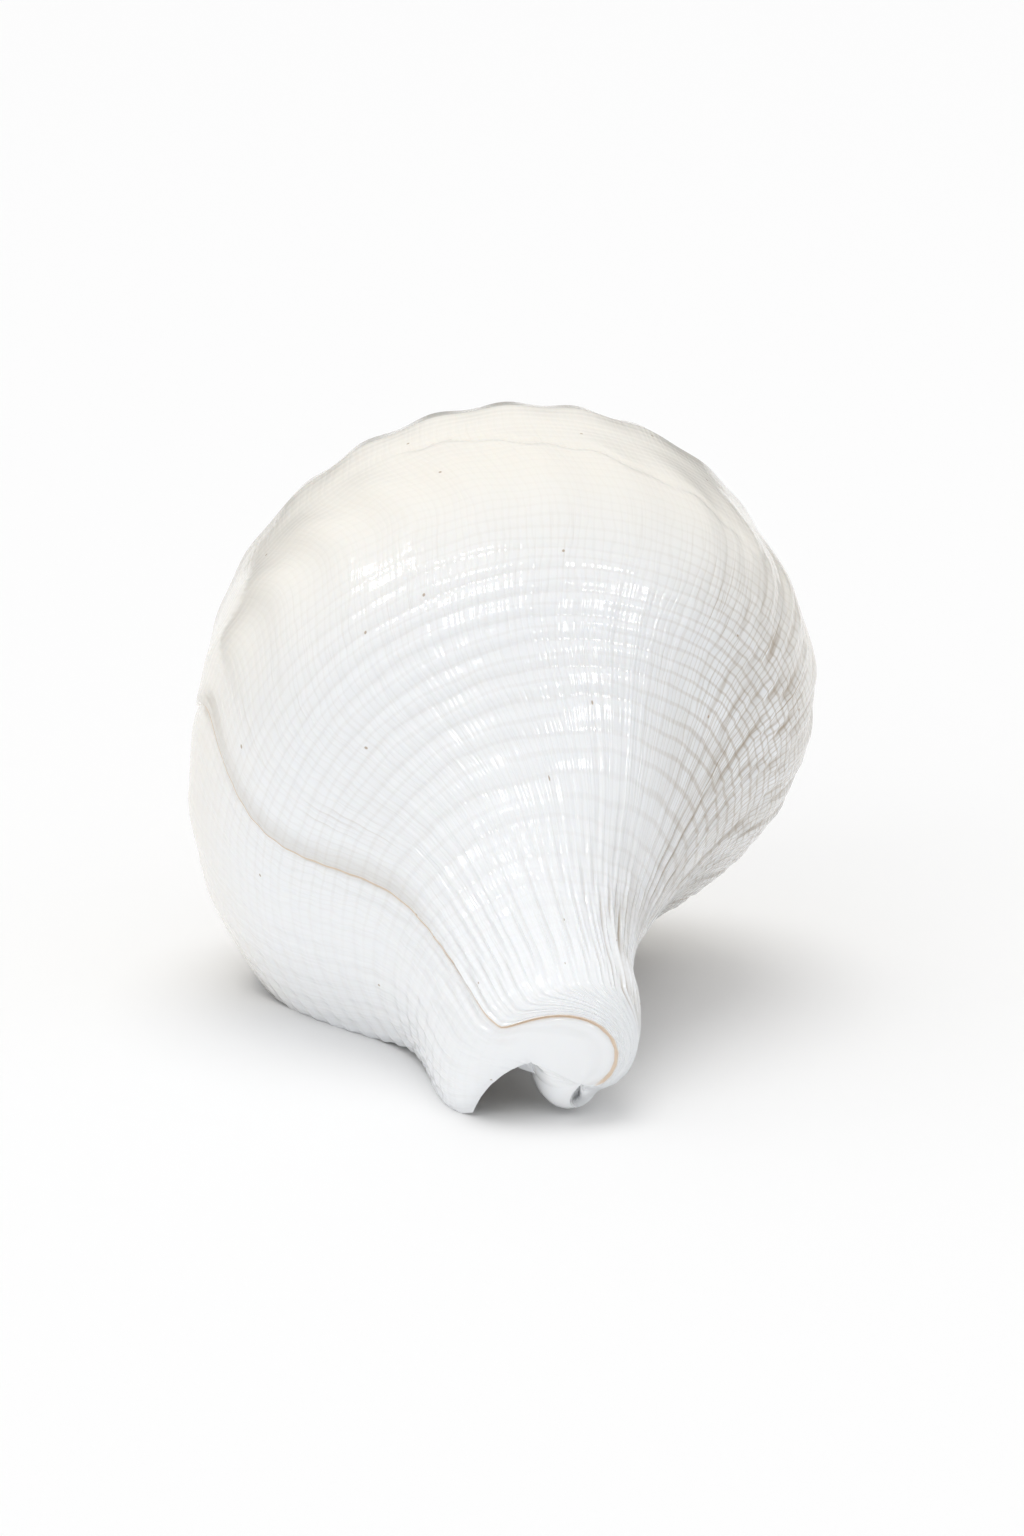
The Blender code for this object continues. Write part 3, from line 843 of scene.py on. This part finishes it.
def lining(look):
    """The aperture's own glaze, as the animal leaves it: smooth, white, a little warmer inside."""
    material = bpy.data.materials.new("porcelain lining")
    material.use_nodes = True
    tree = material.node_tree
    shader = tree.nodes["Principled BSDF"]
    shader.inputs["IOR"].default_value = ARAGONITE_IOR
    shader.inputs["Roughness"].default_value = 0.16
    surface = add_node(tree, "UVMap", uv_map="growth")
    parts = add_node(tree, "SeparateXYZ", {0: surface.outputs[0]})
    shade = streaks(tree, parts.outputs[0], parts.outputs[1], LINING_RADIUS / LINING_PATCH, 0.04)
    colour = lay_over(tree, look.lining, look.white, shade, 0.3, 0.7)
    tree.links.new(colour, shader.inputs["Base Color"])
    return material


def floor_paint():
    """Matt white paint on the studio floor."""
    material = bpy.data.materials.new("matt white paint")
    material.use_nodes = True
    shader = material.node_tree.nodes["Principled BSDF"]
    shader.inputs["Base Color"].default_value = linear_colour("f8f8f8")
    shader.inputs["Roughness"].default_value = 0.9
    shader.inputs["Specular IOR Level"].default_value = 0.1
    return material


# The stage


def soft_light(name, azimuth, elevation, width, strength, glint=False):
    """A light far away, so that the floor is lit evenly. width is the angle it fills.

    The key light and the front light give form and shadow, and don't show in the polish. A glint is a small
    lamp that shows in the polish alone.
    """
    data = bpy.data.lights.new(name, "SUN")
    data.angle = width
    data.energy = strength
    light = bpy.data.objects.new(name, data)
    light.visible_glossy = glint
    light.visible_diffuse = not glint
    back = Vector((
        math.sin(azimuth) * math.cos(elevation),
        -math.cos(azimuth) * math.cos(elevation),
        math.sin(elevation),
    ))
    light.location = back
    light.rotation_euler = (-back).to_track_quat("-Z", "Y").to_euler()
    bpy.context.collection.objects.link(light)


def studio_camera(look):
    """Looks down on the canal's end from in front, as the photograph does."""
    data = bpy.data.cameras.new("camera")
    data.lens = look.lens
    data.sensor_width = SENSOR_WIDTH
    camera = bpy.data.objects.new("camera", data)
    back = Vector((0, -math.cos(look.elevation), math.sin(look.elevation)))
    camera.location = Vector(look.aim) + back * look.distance
    camera.rotation_euler = (-back).to_track_quat("-Z", "Y").to_euler()
    bpy.context.collection.objects.link(camera)
    bpy.context.scene.camera = camera


# The add-on


class ShellLook(bpy.types.PropertyGroup):
    """Sizes and colours of the shell's surface"""

    wall: bpy.props.FloatProperty(name="Wall", description="Wall thickness at the lip, mm", default=3.2)
    wall_at_canal: bpy.props.FloatProperty(
        name="Canal's wall", description="Wall at the notch, mm", default=2.0
    )
    knob_height: bpy.props.FloatProperty(
        name="Knobs", description="Height of shoulder knobs, mm", default=0.3
    )
    seam_step: bpy.props.FloatProperty(
        name="Seam step", description="Step at the former lip, mm", default=0.6
    )
    cord_spacing: bpy.props.FloatProperty(name="Cord spacing", description="Between cords, mm", default=3.3)
    cord_height: bpy.props.FloatProperty(name="Cord height", description="Height of a cord, mm", default=0.13)
    fold_height: bpy.props.FloatProperty(name="Growth folds", description="Height of folds, mm", default=0.26)
    crease_depth: bpy.props.FloatProperty(
        name="Crease", description="Depth of the neck's crease, mm", default=0.7
    )
    scar_depth: bpy.props.FloatProperty(
        name="Scar depth", description="Depth of the shoulder's scar, mm", default=0.3
    )
    growth_height: bpy.props.FloatProperty(
        name="Growth lines", description="Depth of the fine growth lines and threads, mm", default=0.05
    )
    white: bpy.props.FloatVectorProperty(
        name="White", description="Lower body", default=linear_colour("f7f9fb"), size=4, subtype="COLOR"
    )
    ivory: bpy.props.FloatVectorProperty(
        name="Ivory", description="Shoulder", default=linear_colour("f5f1e8"), size=4, subtype="COLOR"
    )
    tan: bpy.props.FloatVectorProperty(
        name="Tan",
        description="Dirt in the grooves", default=linear_colour("a08c70"), size=4, subtype="COLOR"
    )
    # Stain colour, also laid as painted shade on the right side and in the hollow before the former lip
    stain_and_shade: bpy.props.FloatVectorProperty(
        name="Stain", description="Broad stain", default=linear_colour("b3aa9b"), size=4, subtype="COLOR"
    )
    ochre: bpy.props.FloatVectorProperty(
        name="Ochre",
        description="Former lip's edge", default=linear_colour("d2a667"), size=4, subtype="COLOR"
    )
    scar: bpy.props.FloatVectorProperty(
        name="Scar",
        description="Scar, crease and pinholes", default=linear_colour("a0835e"), size=4, subtype="COLOR"
    )
    lining: bpy.props.FloatVectorProperty(
        name="Lining", description="Inside", default=linear_colour("efe6da"), size=4, subtype="COLOR"
    )


class StageLook(bpy.types.PropertyGroup):
    """Camera, floor and lights"""

    lens: bpy.props.FloatProperty(name="Lens", description="Focal length, mm", default=118.4)
    distance: bpy.props.FloatProperty(
        name="Distance", description="Camera to aim", default=0.6358, unit="LENGTH"
    )
    elevation: bpy.props.FloatProperty(
        name="Elevation", description="Camera above the floor", default=math.radians(13.27), subtype="ANGLE"
    )
    aim: bpy.props.FloatVectorProperty(
        name="Aim", description="Point the camera looks at", default=(0.00109, 0.0, 0.0296), subtype="XYZ"
    )
    floor_size: bpy.props.FloatProperty(
        name="Floor", description="Floor's width", default=16.0, unit="LENGTH"
    )
    room: bpy.props.FloatProperty(name="Room light", description="White light from above", default=0.85)
    horizon: bpy.props.FloatProperty(
        name="Low light", description="Share of it from the room's sides", default=0.3
    )
    key: bpy.props.FloatProperty(name="Key light", description="Strength of the key light", default=0.67)
    front: bpy.props.FloatProperty(
        name="Front light", description="Strength of the fill in front", default=0.5
    )
    glint: bpy.props.FloatProperty(name="Glints", description="Strength of each small lamp", default=0.25)
    glint_width: bpy.props.FloatProperty(
        name="Glint width", description="Angle a small lamp fills", default=math.radians(7), subtype="ANGLE"
    )
    key_azimuth: bpy.props.FloatProperty(
        name="Key azimuth", description="Round from the camera", default=math.radians(180), subtype="ANGLE"
    )
    key_elevation: bpy.props.FloatProperty(
        name="Key elevation", description="Above the floor", default=math.radians(80), subtype="ANGLE"
    )
    key_width: bpy.props.FloatProperty(
        name="Key width", description="Angle the key light fills", default=math.radians(36), subtype="ANGLE"
    )


class CONCH_OT_shell(bpy.types.Operator):
    """Build the polished shell over its solid"""

    bl_idname = "conch.shell"
    bl_label = "Shell"

    def execute(self, context):
        look = context.scene.conch_shell
        shell = shell_object(look)
        shell.data.materials.append(polished_shell(look))
        shell.data.materials.append(lining(look))
        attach(shell, "root")
        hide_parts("shell")
        return {"FINISHED"}


class CONCH_OT_stage(bpy.types.Operator):
    """Build the floor, the lights and the camera"""

    bl_idname = "conch.stage"
    bl_label = "Stage"

    def execute(self, context):
        look = context.scene.conch_stage
        bpy.ops.mesh.primitive_plane_add(size=look.floor_size)
        floor = context.object
        floor.name = "floor"
        floor.data.materials.append(floor_paint())
        world = bpy.data.worlds.new("studio")
        context.scene.world = world
        world.use_nodes = True
        background = world.node_tree.nodes["Background"]
        background.inputs["Color"].default_value = linear_colour("ffffff")
        direction = add_node(world.node_tree, "TexCoord")
        parts = add_node(world.node_tree, "SeparateXYZ", {0: direction.outputs["Generated"]})
        strength = add_node(
            world.node_tree,
            "MapRange",
            {
                "Value": parts.outputs[2],
                "From Max": FULL_LIGHT_FROM,
                "To Min": look.room * look.horizon,
                "To Max": look.room,
            },
            interpolation_type="SMOOTHSTEP",
        )
        world.node_tree.links.new(strength.outputs[0], background.inputs["Strength"])
        soft_light("key", look.key_azimuth, look.key_elevation, look.key_width, look.key)
        soft_light("front", *FRONT, FRONT_WIDTH, look.front)
        for number, (azimuth, elevation) in enumerate(GLINTS):
            soft_light("glint_%d" % number, azimuth, elevation, look.glint_width, look.glint, glint=True)
        context.scene.view_settings.view_transform = "Standard"
        studio_camera(look)
        return {"FINISHED"}


class CONCH_PT_panel(bpy.types.Panel):
    """Buttons and values of the conch shell"""

    bl_idname = "CONCH_PT_panel"
    bl_label = "Conch shell"
    bl_space_type = "VIEW_3D"
    bl_region_type = "UI"
    bl_category = "Conch"

    def draw(self, context):
        for operator, group in (("conch.shell", "conch_shell"), ("conch.stage", "conch_stage")):
            box = self.layout.box()
            box.operator(operator)
            values = getattr(context.scene, group)
            for name in values.__annotations__:
                box.prop(values, name)


CLASSES = (ShellLook, StageLook, CONCH_OT_shell, CONCH_OT_stage, CONCH_PT_panel)


def register():
    """Adds the classes, and their values to the scene."""
    for item in CLASSES:
        bpy.utils.register_class(item)
    bpy.types.Scene.conch_shell = bpy.props.PointerProperty(type=ShellLook)
    bpy.types.Scene.conch_stage = bpy.props.PointerProperty(type=StageLook)


def unregister():
    """Takes the classes and their values away again."""
    del bpy.types.Scene.conch_stage
    del bpy.types.Scene.conch_shell
    for item in reversed(CLASSES):
        bpy.utils.unregister_class(item)


def main():
    """Builds everything."""
    register()
    bpy.ops.conch.shell()
    bpy.ops.conch.stage()


if __name__ == "__main__":
    main()
